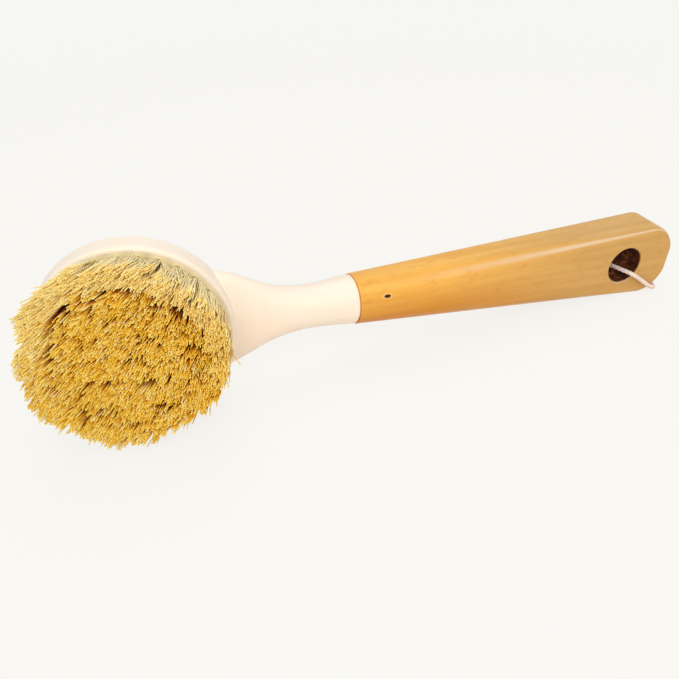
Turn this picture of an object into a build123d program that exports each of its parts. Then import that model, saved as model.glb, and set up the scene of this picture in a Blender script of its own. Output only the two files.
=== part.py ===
from build123d import *
from math import atan2, cos, hypot, pi, radians, sin, sqrt, tan
import os

os.makedirs("parts", exist_ok=True)

# A long-handled dish brush. A moulded plastic head with a tapering neck holds tufts of plant fibre,
# each folded round a flat wire anchor in its own hole. A bamboo handle is glued into the neck's socket,
# and a cord is tied through the hole in its end. All lengths are in millimetres.

# Head
head_radius = 32.1
head_edge_round = 1.4
wall_depth = 7.2
back_depth = 12.4
back_inset = 8.6
back_crown = 0.6
wall_round = 3.4
back_round = 9.0

# Neck and socket, along the handle's axis from under the head's centre
handle_bend = 12.7  # degrees that the handle leans back from the head's face
axis_depth = 1.0
socket_end = 75.9
socket_radius = 8.9
waist_radius = 7.75
neck_start_inset = 16.9
neck_root_inset = 7.6
neck_root_half_depth = 4.4
bore_radius = 5.5
bore_depth = 22.0
socket_rim_round = 0.8

# Tufts and their holes
ring_inset = 4.3
ring_count = 28
ring_to_rows = 6.1
rows_margin = 2.2
row_count = 6
tuft_pitch = 6.4
hole_radius = 1.6
hole_depth = 5.0
ring_pad_half_width = 2.4
pad_depth = 1.0
pad_gap = 0.3
plug_clearance = 0.06
plug_sides = 10
bristle_length = 21.0
strand_radius = 0.55
strand_circle = 1.0
strand_fan = 2.2
strand_embed = 0.6
strands_around = 5
strand_sides = 4
tip_lean = 2.75  # how far the tips lean away from the handle
spread_along_share = 1.1
spread_across_share = 1.0
length_shares = (1.0, 0.955, 0.985, 0.94, 0.97)

# Wire anchors in the holes' bottoms
anchor_height = 1.8
anchor_thickness = 0.45
anchor_clearance = 0.05

# Handle
handle_step = 0.1  # how far the bamboo stands out from the socket's rim
handle_start_flat = 0.5
handle_end_half_width = 14.7
handle_end_half_thickness = 8.9
handle_edge_round = 2.0
handle_length = 214.4
round_end = 11.2
spigot_clearance = 0.05
spigot_end_gap = 0.5
spigot_chamfer = 0.8
hang_hole_radius = 7.4
hang_hole_inset = 22.8
hang_hole_chamfer = 0.6

# Cord
cord_radius = 0.9
knot_radius = 2.35
knot_length = 6.0
knot_round_share = 0.8

overrun = 1.0

# Sizes that follow from these
back_radius = head_radius - back_inset
neck_start = head_radius - neck_start_inset
neck_root_half_width = head_radius - neck_root_inset
ring_radius = head_radius - ring_inset
rows_radius = ring_radius - ring_to_rows
row_pitch = 2 * (rows_radius - rows_margin) / (row_count - 1)
pad_radius = ring_radius + ring_pad_half_width
ring_inner = ring_radius - ring_pad_half_width
handle_start_radius = socket_radius + handle_step
end_start = handle_length - round_end
hang_hole_place = handle_length - hang_hole_inset
foot_turn = atan2(back_inset, back_depth - wall_depth)
foot_depth = wall_depth - wall_round * tan(foot_turn / 2)  # where the wall starts to round off

# Shares of the neck's stations, from its start inside the head to the socket's end
station_shares = (0.0, 0.2, 0.375, 0.5, 0.625, 0.75, 0.875, 1.0)
# At each station, how far the width has gone from the root's to the waist's, and the depth likewise
width_shares = (0.0, 0.32, 0.6, 0.83, 0.963, 1.0, 1.0, 1.0)
depth_shares = (0.0, 0.38, 0.66, 0.83, 0.95, 1.0, 1.0, 1.0)
# How far the round neck has swelled from the waist to the socket
swell_shares = (0.0, 0.0, 0.0, 0.0, 0.0, 0.08, 0.5, 1.0)
# Along the round end, where its cross-sections stand
end_station_shares = (0.0, 0.3, 0.55, 0.75, 0.89, 0.97, 1.0)
end_full_share = 0.975  # how far the last section is along the end's ellipse

# Axes of the handle in the head's own frame: x along the face, y across, z out of the face
handle_along = Vector(cos(radians(handle_bend)), 0, -sin(radians(handle_bend)))
handle_front = Vector(sin(radians(handle_bend)), 0, cos(radians(handle_bend)))
across = Vector(0, 1, 0)


def on_handle(distance):
    """A point of the handle's axis, in the head's own frame."""
    return Vector(0, 0, -axis_depth) + handle_along * distance


# Places of the tufts on the face: a ring that follows the edge, and straight rows inside it
def ring_places():
    turns = [2 * pi * (i + 0.5) / ring_count - pi / 2 for i in range(ring_count)]
    return [(ring_radius * cos(turn), ring_radius * sin(turn)) for turn in turns]


def row_height(row):
    return (row - (row_count - 1) / 2) * row_pitch


def row_places(row):
    height = row_height(row)
    room = sqrt(rows_radius**2 - height**2)
    count = int(2 * room / tuft_pitch) + 1
    return [((i - (count - 1) / 2) * tuft_pitch, height) for i in range(count)]


def tuft_strands(place, number):
    """The root and tip of each strand of one tuft: one in the middle and the others round it."""
    tuft_x, tuft_y = place
    tip_x = spread_along_share * tuft_x - tip_lean
    tip_y = spread_across_share * tuft_y
    made = []
    for k in range(strands_around + 1):
        out = 0 if k == 0 else 1
        turn = 2 * pi * k / strands_around - pi / 2
        length = bristle_length * length_shares[(number + 2 * k) % len(length_shares)]
        root = Vector(
            tuft_x + out * strand_circle * cos(turn), tuft_y + out * strand_circle * sin(turn), 0
        )
        tip = Vector(tip_x + out * strand_fan * cos(turn), tip_y + out * strand_fan * sin(turn), length)
        made.append((root, tip))
    return made


tuft_rows = {f"tufts_row_{row + 1}": row_places(row) for row in range(row_count)}
all_places = ring_places() + [place for places in tuft_rows.values() for place in places]
ring_strands = [s for i, place in enumerate(ring_places()) for s in tuft_strands(place, i)]


# The brush lies on its side, on the head's edge and the narrow side of the handle's end.
# These give their lowest points for a trial direction of up, in the head's own frame.
def head_low(up):
    """The lowest point of the head's rounded front edge or of its wall's foot."""
    flat = Vector(up.X, up.Y, 0).normalized()
    lows = []
    for depth, edge_round in ((head_edge_round, head_edge_round), (foot_depth, wall_round)):
        lows.append(Vector(0, 0, -depth) - flat * (head_radius - edge_round) - up * edge_round)
    return min(lows, key=lambda low: low.dot(up))


def handle_low(up, face_side):
    """The lowest point of the end's rounded edge, on its front for 1 and on its back for -1."""
    centre = on_handle(end_start)
    flat_end, flat_side = round_end - handle_edge_round, handle_end_half_width - handle_edge_round
    down_end, down_side = -up.dot(handle_along), -up.dot(across)
    reach = hypot(flat_end * down_end, flat_side * down_side)
    low = handle_along * (flat_end**2 * down_end / reach) + across * (flat_side**2 * down_side / reach)
    low += handle_front * face_side * (handle_end_half_thickness - handle_edge_round)
    return centre + low - up * handle_edge_round


up = across
for trial in range(6):
    on_floor = (head_low(up), handle_low(up, 1), handle_low(up, -1))
    up = (on_floor[1] - on_floor[0]).cross(on_floor[2] - on_floor[0]).normalized()

face_out = Vector(0, 0, 1)
back = (up * face_out.dot(up) - face_out).normalized()
right = back.cross(up)


def laid(v):
    """A direction of the head's own frame, turned as the brush lies."""
    return Vector(v.dot(right), v.dot(back), v.dot(up))


# The origin is on the floor under the middle of the brush
left_most = min(laid(tip).X for root, tip in ring_strands) - strand_radius
right_most = laid(on_handle(handle_length) + handle_front * handle_end_half_thickness / 2).X
front_most = min(laid(tip).Y for root, tip in ring_strands)
back_most = laid(on_handle(handle_length) - handle_front * handle_end_half_thickness).Y
face_centre = Vector(
    -(left_most + right_most) / 2,
    -(front_most + back_most) / 2,
    -laid(head_low(up)).Z,
)


def placed(point):
    """A point of the head's own frame, where the brush lies."""
    return face_centre + laid(point)


face = Plane(origin=face_centre, x_dir=laid(Vector(1, 0, 0)), z_dir=laid(face_out))
side = Plane(origin=face_centre, x_dir=laid(Vector(1, 0, 0)), z_dir=laid(-across))


def section(distance):
    """A plane square to the handle's axis: x across the brush, y towards the bristles."""
    return Plane(origin=placed(on_handle(distance)), x_dir=laid(across), z_dir=laid(handle_along))


handle_axis = Axis(placed(on_handle(0)), laid(handle_along))


def half_width(station):
    """The neck's half-width at one of its stations, given by its number."""
    narrowed = neck_root_half_width + (waist_radius - neck_root_half_width) * width_shares[station]
    return narrowed + (socket_radius - waist_radius) * swell_shares[station]


def half_depth(station):
    deepened = neck_root_half_depth + (waist_radius - neck_root_half_depth) * depth_shares[station]
    return deepened + (socket_radius - waist_radius) * swell_shares[station]


# The head's round plate is turned, the neck is lofted out of it, and the holes are cut
with BuildPart() as brush_head:
    with BuildSketch(side) as profile:
        with BuildLine():
            Polyline(
                (0, 0),
                (head_radius, 0),
                (head_radius, -wall_depth),
                (back_radius, -back_depth),
                (0, -back_depth - back_crown),
                close=True,
            )
        make_face()
        wall_foot, face_corner = profile.vertices().group_by(Axis.X)[-1].sort_by(Axis.Y)
        back_corner = profile.vertices().group_by(Axis.X)[-2][0]
        fillet(face_corner, radius=head_edge_round)
        fillet(wall_foot, radius=wall_round)
        fillet(back_corner, radius=back_round)
    revolve(axis=Axis(face_centre, laid(face_out)))
    for station, share in enumerate(station_shares):
        with BuildSketch(section(neck_start + share * (socket_end - neck_start))):
            Ellipse(half_width(station), half_depth(station))
    loft()
    socket_face = brush_head.faces().sort_by(handle_axis)[-1]
    fillet(socket_face.outer_wire().edges(), radius=socket_rim_round)
    with BuildSketch(section(socket_end)):
        Circle(bore_radius)
    extrude(amount=-bore_depth, mode=Mode.SUBTRACT)
    with BuildSketch(face.offset(neck_root_half_depth)):
        Circle(pad_radius)
    extrude(amount=-neck_root_half_depth - pad_depth, mode=Mode.SUBTRACT)
    with BuildSketch(face.offset(-pad_depth)):
        with Locations(*all_places):
            Circle(hole_radius)
    extrude(amount=-hole_depth, mode=Mode.SUBTRACT)
brush_head.part.label = "brush_head"
export_step(brush_head.part, "parts/brush_head.step")
print(brush_head.part.volume, len(brush_head.part.solids()), brush_head.part.bounding_box())


# The bamboo handle swells from round to a flat, rounded bar, and its spigot fills the socket
def bar_half(distance, start_half, end_half):
    """A half-size of the bar, which changes evenly from the socket to the round end."""
    return start_half + (end_half - start_half) * (distance - socket_end) / (end_start - socket_end)


def end_half_width(share):
    return handle_end_half_width * sqrt(1 - (share * end_full_share) ** 2)


def end_half_thickness(share):
    inward = max(0, handle_edge_round - (1 - share) * round_end) / handle_edge_round
    return handle_end_half_thickness - handle_edge_round * (1 - sqrt(1 - inward**2))


hole_half = bar_half(hang_hole_place, handle_start_radius, handle_end_half_thickness)
hole_side = Plane(
    origin=placed(on_handle(hang_hole_place)), x_dir=laid(handle_along), z_dir=laid(-across)
)
with BuildPart() as bamboo_handle:
    with BuildSketch(section(socket_end)):
        RectangleRounded(
            2 * handle_start_radius, 2 * handle_start_radius, handle_start_radius - handle_start_flat
        )
    with BuildSketch(section(end_start)):
        RectangleRounded(2 * handle_end_half_width, 2 * handle_end_half_thickness, handle_edge_round)
    loft()
    for share in end_station_shares:
        with BuildSketch(section(end_start + share * round_end)):
            RectangleRounded(
                2 * end_half_width(share), 2 * end_half_thickness(share), handle_edge_round
            )
    loft()
    with BuildSketch(section(socket_end)):
        Circle(bore_radius - spigot_clearance)
    extrude(amount=spigot_end_gap - bore_depth)
    spigot_end = bamboo_handle.faces().sort_by(handle_axis)[0]
    chamfer(spigot_end.edges(), length=spigot_chamfer)
    with BuildSketch(hole_side):
        with BuildLine():
            mouth = hang_hole_radius + hang_hole_chamfer + overrun
            Polyline(
                (0, -hole_half - overrun),
                (mouth, -hole_half - overrun),
                (hang_hole_radius, -hole_half + hang_hole_chamfer),
                (hang_hole_radius, hole_half - hang_hole_chamfer),
                (mouth, hole_half + overrun),
                (0, hole_half + overrun),
                close=True,
            )
        make_face()
    revolve(axis=Axis(placed(on_handle(hang_hole_place)), laid(handle_front)), mode=Mode.SUBTRACT)
bamboo_handle.part.label = "bamboo_handle"
export_step(bamboo_handle.part, "parts/bamboo_handle.step")
print(bamboo_handle.part.volume, len(bamboo_handle.part.solids()), bamboo_handle.part.bounding_box())


def strand(root, tip):
    """One strand, from inside its pad to its tip."""
    start = root + (root - tip).normalized() * strand_embed
    plane = Plane(origin=placed(start), x_dir=laid(across), z_dir=laid(tip - start))
    return extrude(plane * RegularPolygon(strand_radius, strand_sides), amount=(tip - start).length)


def tuft_node(name, places, pad):
    """Tufts on the slice of the face that carries them, with their roots down in the holes."""
    made = [strand(root, tip) for i, place in enumerate(places) for root, tip in tuft_strands(place, i)]
    with BuildPart() as tufts:
        with BuildSketch(face.offset(-pad_depth)):
            add(pad)
        extrude(amount=pad_depth)
        with BuildSketch(face.offset(-pad_depth)):
            with Locations(*places):
                RegularPolygon(hole_radius - plug_clearance, plug_sides)
        extrude(amount=anchor_height + anchor_clearance - hole_depth)
        add(made)
    tufts.part.label = name
    export_step(tufts.part, f"parts/{name}.step")
    print(name, len(places), len(made), tufts.part.volume, len(tufts.part.solids()))
    return tufts.part


with BuildSketch() as ring_pad:
    Circle(pad_radius - pad_gap / 2)
    Circle(ring_inner, mode=Mode.SUBTRACT)
tuft_node("tufts_edge_ring", ring_places(), ring_pad.sketch)
for row, (name, places) in enumerate(tuft_rows.items()):
    with BuildSketch() as row_pad:
        Circle(ring_inner - pad_gap)
        with Locations((0, row_height(row))):
            Rectangle(2 * pad_radius, row_pitch - pad_gap, mode=Mode.INTERSECT)
    tuft_node(name, places, row_pad.sketch)

# A flat wire anchor stands across each hole's bottom, under the folded fibres
with BuildPart() as tuft_anchors:
    with BuildSketch(face.offset(-pad_depth - hole_depth)):
        with Locations(*all_places):
            Rectangle(2 * (hole_radius - anchor_clearance), anchor_thickness)
    extrude(amount=anchor_height)
tuft_anchors.part.label = "tuft_anchors"
export_step(tuft_anchors.part, "parts/tuft_anchors.step")
print(len(tuft_anchors.part.solids()))


# The cord runs from the knot up through the hole, over the handle's front and round its end, back to
# the knot. Its points are places on the floor's frame, chosen by hand.
cord_points = [
    (62.0, 40.8, 2.4),
    (68.0, 40.8, 2.4),
    (78.0, 43.0, 1.1),
    (87.5, 46.0, 1.6),
    (94.3, 45.6, 5.2),
    (96.5, 40.7, 9.7),
    (97.2, 34.1, 11.2),
    (98.4, 26.6, 11.8),
    (100.8, 20.1, 12.7),
    (104.8, 15.1, 12.2),
    (109.6, 16.3, 8.3),
    (114.9, 17.5, 3.7),
    (119.3, 19.7, 1.1),
    (119.9, 26.2, 1.0),
    (118.6, 32.9, 1.0),
    (115.3, 39.1, 1.0),
    (107.2, 47.8, 1.0),
    (97.2, 51.6, 1.0),
    (86.6, 51.4, 1.1),
    (77.6, 47.4, 1.1),
    (68.5, 43.2, 2.4),
    (62.0, 43.2, 2.4),
]
run_share = 0.45


def corner_radius(before, corner, after):
    """The largest radius that the two runs at a corner allow."""
    first, second = Vector(corner) - Vector(before), Vector(after) - Vector(corner)
    turn = radians(first.get_angle(second))
    return run_share * min(first.length, second.length) / tan(turn / 2)


cord_radii = [corner_radius(*three) for three in zip(cord_points, cord_points[1:], cord_points[2:])]
with BuildPart() as hanging_cord:
    with BuildLine() as route:
        FilletPolyline(*cord_points, radius=cord_radii)
    with BuildSketch(Plane(origin=route.line @ 0, z_dir=route.line % 0)):
        Circle(cord_radius)
    sweep(path=route.line)
hanging_cord.part.label = "hanging_cord"
export_step(hanging_cord.part, "parts/hanging_cord.step")
cord_length = sum(edge.length for edge in route.edges())
print("cord length", cord_length, "radii", [round(radius, 1) for radius in cord_radii])
print("cord volume", hanging_cord.part.volume, "of", pi * cord_radius**2 * cord_length)

# The knot that closes the loop: both ends of the cord enter its flat face
first_end, last_end = Vector(cord_points[0]), Vector(cord_points[-1])
with BuildPart() as cord_knot:
    with BuildSketch(Plane(origin=(first_end + last_end) / 2, z_dir=(-1, 0, 0))):
        Circle(knot_radius)
    extrude(amount=knot_length)
    fillet(cord_knot.edges().group_by(Axis.X)[0], radius=knot_radius * knot_round_share)
cord_knot.part.label = "cord_knot"
export_step(cord_knot.part, "parts/cord_knot.step")
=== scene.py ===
# %% [markdown]
# A long-handled dish brush lies on its side on a pale floor. Its head is one white plastic
# moulding, its bristles are tufts of plant fibre, its handle is bamboo, and a thin cord is tied
# through the handle's end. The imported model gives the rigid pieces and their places. This file
# gives each one its finish, and it builds the soft pieces again in full detail: the fibres, the
# cord and its knot.

import bmesh
import bpy
import numpy as np
from mathutils import Matrix, Vector
from mathutils.geometry import delaunay_2d_cdt


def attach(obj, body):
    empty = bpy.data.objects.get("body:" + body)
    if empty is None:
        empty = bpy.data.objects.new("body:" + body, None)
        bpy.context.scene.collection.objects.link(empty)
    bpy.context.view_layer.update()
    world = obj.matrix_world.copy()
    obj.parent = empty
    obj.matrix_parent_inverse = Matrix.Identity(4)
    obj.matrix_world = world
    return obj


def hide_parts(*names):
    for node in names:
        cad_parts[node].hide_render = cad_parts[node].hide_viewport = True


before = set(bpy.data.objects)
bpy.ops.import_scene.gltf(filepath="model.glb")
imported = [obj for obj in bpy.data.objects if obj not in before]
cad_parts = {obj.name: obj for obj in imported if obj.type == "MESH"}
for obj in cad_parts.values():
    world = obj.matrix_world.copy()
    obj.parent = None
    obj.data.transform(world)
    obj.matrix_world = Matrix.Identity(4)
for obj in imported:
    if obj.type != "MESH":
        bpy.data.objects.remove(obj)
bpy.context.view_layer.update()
scene = bpy.context.scene
scene.view_settings.view_transform = "Standard"
# Pale fibres pass light to each other many times, so more bounces are followed than usual
scene.cycles.diffuse_bounces = 12
scene.cycles.max_bounces = 14
print("nodes:", sorted(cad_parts))

# %% [markdown]
# The camera comes first, because everything else is judged through it. It looks down at the
# bristles from the front at about 36 degrees, as a photographer would hold it over a table. Two
# directions and a place are enough to set it: with the third, which is square to both, they fill
# its matrix.

# %% Camera
CAMERA_PLACE = Vector((-0.046358, -0.215046, 0.167324))
CAMERA_RIGHT = Vector((0.987444, -0.154553, -0.032671))
CAMERA_UP = Vector((0.117566, 0.580866, 0.805464))
CAMERA_LENS = 38.17  # mm
SENSOR_WIDTH = 36  # mm
NEAREST_SEEN = 0.005

camera = bpy.data.objects.new("camera", bpy.data.cameras.new("camera"))
scene.collection.objects.link(camera)
scene.camera = camera
turn = Matrix((CAMERA_RIGHT, CAMERA_UP, CAMERA_RIGHT.cross(CAMERA_UP))).transposed()
camera.matrix_world = Matrix.Translation(CAMERA_PLACE) @ turn.to_4x4()
camera.data.sensor_width = SENSOR_WIDTH
camera.data.lens = CAMERA_LENS
camera.data.clip_start = NEAREST_SEEN
print("camera at", [round(c, 3) for c in camera.location], "lens", camera.data.lens)

# %% [markdown]
# A limp cord is drawn best as one smooth spline that a few listed points steer. It goes up
# through the hole, over the handle's front, round its end, and back along the floor to its knot. A
# NURBS spline stays smooth between its points and starts and ends exactly on the outer ones. It
# has no thickness of its own: only the points along it are read, and the cord follows them.

# %% The cord's route
CORD_POINTS = [
    (0.0620, 0.0408, 0.0024),
    (0.0680, 0.0408, 0.0024),
    (0.0780, 0.0430, 0.0011),
    (0.0875, 0.0460, 0.0016),
    (0.0943, 0.0456, 0.0052),
    (0.0965, 0.0407, 0.0097),
    (0.0972, 0.0341, 0.0112),
    (0.0984, 0.0266, 0.0118),
    (0.1008, 0.0201, 0.0127),
    (0.1048, 0.0151, 0.0122),
    (0.1096, 0.0163, 0.0083),
    (0.1149, 0.0175, 0.0037),
    (0.1193, 0.0197, 0.0011),
    (0.1199, 0.0262, 0.0010),
    (0.1186, 0.0329, 0.0010),
    (0.1153, 0.0391, 0.0010),
    (0.1072, 0.0478, 0.0010),
    (0.0972, 0.0516, 0.0010),
    (0.0866, 0.0514, 0.0011),
    (0.0776, 0.0474, 0.0011),
    (0.0685, 0.0432, 0.0024),
    (0.0620, 0.0432, 0.0024),
]
CORD_DIAMETER = 0.0018
SPLINE_ORDER = 3
STEPS_PER_POINT = 24


def route(points):
    """The points along the NURBS curve that these control points steer, from first to last."""
    curve = bpy.data.curves.new("route", "CURVE")
    curve.dimensions = "3D"
    line = curve.splines.new("NURBS")
    line.points.add(len(points) - 1)
    for point, place in zip(line.points, points):
        point.co = (*place, 1)
    line.order_u = SPLINE_ORDER
    line.use_endpoint_u = True
    line.resolution_u = STEPS_PER_POINT
    holder = bpy.data.objects.new("route", curve)
    mesh = bpy.data.meshes.new_from_object(holder)
    places = np.array([corner.co for corner in mesh.vertices], float)
    bpy.data.meshes.remove(mesh)
    bpy.data.curves.remove(curve)
    return places


cord_line = route(CORD_POINTS)
print("cord of", len(CORD_POINTS), "control points, read at", len(cord_line), "points")

# %% [markdown]
# The cord is spun from three strands, so its section is a round with three shallow grooves, and
# the section turns as it goes along. The frame that carries it from point to point is kept square
# to the line without spinning by itself, so the only twist is the strands' own.

# %% The cord
CORD_SIDES = 18
STRANDS = 3
STRAND_PITCH = 0.0052  # how far along the cord a strand goes round once
GROOVE = 0.17  # the grooves' depth, as a share of the radius
FIRST_SIDE = (0.31, 0.17, 0.93)  # any direction that the cord doesn't take itself


def spun(name, line):
    """A tube of spun strands along a line, as a mesh that is closed at both ends."""
    steps = np.linalg.norm(np.diff(line, axis=0), axis=1)
    gone = np.concatenate([[0], np.cumsum(steps)])
    along = np.gradient(line, axis=0)
    along /= np.linalg.norm(along, axis=1, keepdims=True)
    side, sides = np.array(FIRST_SIDE), []
    for way in along:
        side = side - way * side.dot(way)
        side = side / np.linalg.norm(side)
        sides.append(side)
    sides = np.array(sides)[:, None]
    others = np.cross(along[:, None], sides)
    angles = 2 * np.pi * np.arange(CORD_SIDES) / CORD_SIDES
    turned = (angles + 2 * np.pi * gone[:, None] / STRAND_PITCH)[..., None]
    out = 1 - GROOVE * (1 - np.abs(np.cos(angles * STRANDS / 2)))
    around = np.cos(turned) * sides + np.sin(turned) * others
    corners = line[:, None] + CORD_DIAMETER / 2 * out[:, None] * around
    faces = []
    for ring in range(len(line) - 1):
        for corner in range(CORD_SIDES):
            beside = (corner + 1) % CORD_SIDES
            low, high = ring * CORD_SIDES, (ring + 1) * CORD_SIDES
            faces.append((low + corner, low + beside, high + beside, high + corner))
    first, last = list(range(CORD_SIDES)), (len(line) - 1) * CORD_SIDES
    faces += [first[::-1], [last + corner for corner in first]]
    mesh = bpy.data.meshes.new(name)
    mesh.from_pydata(corners.reshape(-1, 3).tolist(), [], faces)
    mesh.polygons.foreach_set("use_smooth", [len(face) == 4 for face in faces])
    piece = bpy.data.objects.new(name, mesh)
    scene.collection.objects.link(piece)
    return piece


cord = spun("hanging_cord_spun", cord_line)
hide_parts("hanging_cord")
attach(cord, "root")
print("cord:", len(cord.data.polygons), "faces")

# %% [markdown]
# The knot is what keeps the loop closed: both ends are turned round each other once and pulled
# tight, and their cut tails stick out. A coil of two turns, as thick as the cord, gives that small
# lump.

# %% The knot
KNOT_START = Vector((0.0612, 0.0420, 0.0024))
KNOT_LENGTH = 0.0050
KNOT_TURNS = 2.25
KNOT_RADIUS = 0.00140
KNOT_POINTS = 20
TAIL_BEND_HEIGHT = 0.0019
TAIL_ENDS = [(0.0505, 0.0402, 0.0010), (0.0512, 0.0441, 0.0010)]


def knot_points():
    """Points of the turns that wrap the knot."""
    points = []
    for i in range(KNOT_POINTS):
        share = i / (KNOT_POINTS - 1)
        angle = 2 * np.pi * KNOT_TURNS * share
        points.append((
            KNOT_START.x - KNOT_LENGTH * share,
            KNOT_START.y + KNOT_RADIUS * np.cos(angle),
            KNOT_START.z + KNOT_RADIUS * np.sin(angle),
        ))
    return points


knot_coil = spun("cord_knot_coil", route(knot_points()))
middle = (KNOT_START.x - 0.5 * KNOT_LENGTH, KNOT_START.y, KNOT_START.z)
knot_end = (KNOT_START.x - KNOT_LENGTH, KNOT_START.y, KNOT_START.z)
knot_pieces = [knot_coil]
for i, end in enumerate(TAIL_ENDS):
    bend = (0.6 * knot_end[0] + 0.4 * end[0], 0.5 * (knot_end[1] + end[1]), TAIL_BEND_HEIGHT)
    knot_pieces.append(spun(f"cord_knot_tail_{i + 1}", route([middle, knot_end, bend, end])))
for piece in knot_pieces:
    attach(piece, "root")
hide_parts("cord_knot")
print("knot pieces:", [piece.name for piece in knot_pieces])

# %% [markdown]
# The head has a frame of its own, which makes the bristles easy to place: x runs along the face
# towards the handle, y across it, and the third axis points out of it. The tufts stand where the
# real drill puts them: a ring that follows the edge, and straight rows inside it.

# %% The head's frame and the tufts' places
FACE_CENTRE = np.array((-0.086708, -0.017459, 0.032195))
FACE_X = np.array((0.996464, -0.001591, -0.084007))
FACE_Y = np.array((0.084022, 0.018865, 0.996285))
FACE_OUT = np.array((0.0, -0.999821, 0.018932))
RING_RADIUS = 0.0278
RING_COUNT = 28
ROWS_RADIUS = 0.0217
ROW_PITCH = 0.0078
ROW_COUNT = 6
TUFT_PITCH = 0.0064
HOLE_RADIUS = 0.0016
BRISTLE_LENGTH = 0.0210


def in_frame(points):
    """Points of the head's own frame, where they are in the scene."""
    points = np.asarray(points, float)
    along, across, out = points[..., :1], points[..., 1:2], points[..., 2:]
    return FACE_CENTRE + along * FACE_X + across * FACE_Y + out * FACE_OUT


def ring_places():
    """Where the ring's tufts stand, evenly round the head's edge."""
    turns = 2 * np.pi * (np.arange(RING_COUNT) + 0.5) / RING_COUNT - np.pi / 2
    return np.stack([RING_RADIUS * np.cos(turns), RING_RADIUS * np.sin(turns)], 1)


def row_places(row):
    """Where one row's tufts stand: as many as its length inside the ring has room for."""
    height = (row - (ROW_COUNT - 1) / 2) * ROW_PITCH
    count = int(2 * np.sqrt(ROWS_RADIUS**2 - height**2) / TUFT_PITCH) + 1
    return np.array([((i - (count - 1) / 2) * TUFT_PITCH, height) for i in range(count)])


tufts = {"edge_ring": ring_places()}
tufts.update({f"row_{row + 1}": row_places(row) for row in range(ROW_COUNT)})
print("tufts:", {name: len(places) for name, places in tufts.items()})

# %% [markdown]
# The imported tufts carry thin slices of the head's face with them, and those go when finer fibres
# take their place. So the face is made again here, with a real hole for each tuft, because the
# dark rims show between the outer roots. It could be cut by booleans, but it is quicker to let one
# call of a triangulation fill the space between the circles. The holes then get short walls.

# %% The face plate
PLATE_RADIUS = 0.0302
PLATE_DEPTH = 0.0010
PLATE_CORNERS, HOLE_CORNERS = 128, 20
IN_HOLE = 0.99  # nearer a hole's middle than this, in its radii, is inside the hole
MERGE_DISTANCE = 1e-7


def circle(centre, radius, count):
    """Points evenly round a circle."""
    turns = 2 * np.pi * np.arange(count) / count
    rim = radius * np.stack((np.cos(turns), np.sin(turns)), axis=1)
    return [Vector((centre[0] + x, centre[1] + y)) for x, y in rim]


def face_plate():
    """The face as one mesh: a flat disc with a round, short-walled hole for each tuft."""
    rims = [circle((0, 0), PLATE_RADIUS, PLATE_CORNERS)]
    for places in tufts.values():
        rims += [circle(place, HOLE_RADIUS, HOLE_CORNERS) for place in places]
    points, loops = [], []
    for rim in rims:
        loops.append(list(range(len(points), len(points) + len(rim))))
        points += rim
    flat, _, faces, *_ = delaunay_2d_cdt(points, [], loops, 1, MERGE_DISTANCE)
    holes = np.array([place for places in tufts.values() for place in places])
    corners = np.array([tuple(p) for p in flat])
    kept = []
    for face in faces:
        middle_of_face = corners[list(face)].mean(0)
        if np.hypot(*(holes - middle_of_face).T).min() > HOLE_RADIUS * IN_HOLE:
            kept.append(list(face))
    mesh = bpy.data.meshes.new("face_plate")
    mesh.from_pydata(in_frame(np.c_[corners, np.zeros(len(corners))]).tolist(), [], kept)
    shape = bmesh.new()
    shape.from_mesh(mesh)
    bmesh.ops.recalc_face_normals(shape, faces=shape.faces)
    if sum(face.normal.dot(Vector(FACE_OUT)) for face in shape.faces) < 0:
        bmesh.ops.reverse_faces(shape, faces=shape.faces)
    rim_edges = [edge for edge in shape.edges if edge.is_boundary]
    wall = bmesh.ops.extrude_edge_only(shape, edges=rim_edges)["geom"]
    down = Vector(-FACE_OUT * PLATE_DEPTH)
    foot = [part for part in wall if isinstance(part, bmesh.types.BMVert)]
    bmesh.ops.translate(shape, verts=foot, vec=down)
    shape.to_mesh(mesh)
    shape.free()
    piece = bpy.data.objects.new("face_plate", mesh)
    scene.collection.objects.link(piece)
    return piece


plate = face_plate()
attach(plate, "root")
print("face plate:", len(plate.data.polygons), "faces")

# %% [markdown]
# Plant fibre is stiff, dry and a little crooked. A tuft is a bundle that is folded in its hole,
# fans out above it and is trimmed level with its neighbours, so its fibres stand side by side,
# lean together in small clumps and differ in tone. A hair system could draw them, but a mesh can
# be measured and exported. So each fibre here is a thin three-sided tube along a curved line, and
# all of a node's fibres are one mesh, which keeps thousands of them quick to make.
#
# First come the lines. Use has bent this brush: the whole field leans towards one side, two
# corners are splayed, and the fibres far from the handle sweep over at their tips. Lengths are in
# metres.

# %% The fibres' lines
FIBRES_PER_TUFT = 190
FIBRE_RADIUS = 0.00021
HEIGHTS = np.array((0.0, 0.14, 0.38, 0.70, 1.0))  # where a line bends, as shares of its length
RINGS = len(HEIGHTS) + 1
SIDES = 3
SUNK = 0.0024  # how deep a fibre starts in its hole
ROOT_SHARE = 0.86  # how much of its hole a bundle fills

# How the field leans: its tips' places as shares of the roots', and a shift of all of them
ALONG_SHARE, ACROSS_SHARE = 0.955, 0.97
FIELD_SHIFT = np.array((0.0001, 0.0036))
LEAN_GROWTH = 1.5
# Each splayed corner: its direction in the face, and how far it is pushed outwards
SPLAYS = (((-0.45, 0.893), 0.0036), ((-0.68, -0.73), 0.0026))
SPLAY_REACH, SPLAY_GROWTH = 1.5, 0.8
# How the fibres farthest from the handle sweep at their tips, and how far they first bow back
BOW = np.array((-0.0072, -0.0036))
BOW_BACK = 0.72

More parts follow.
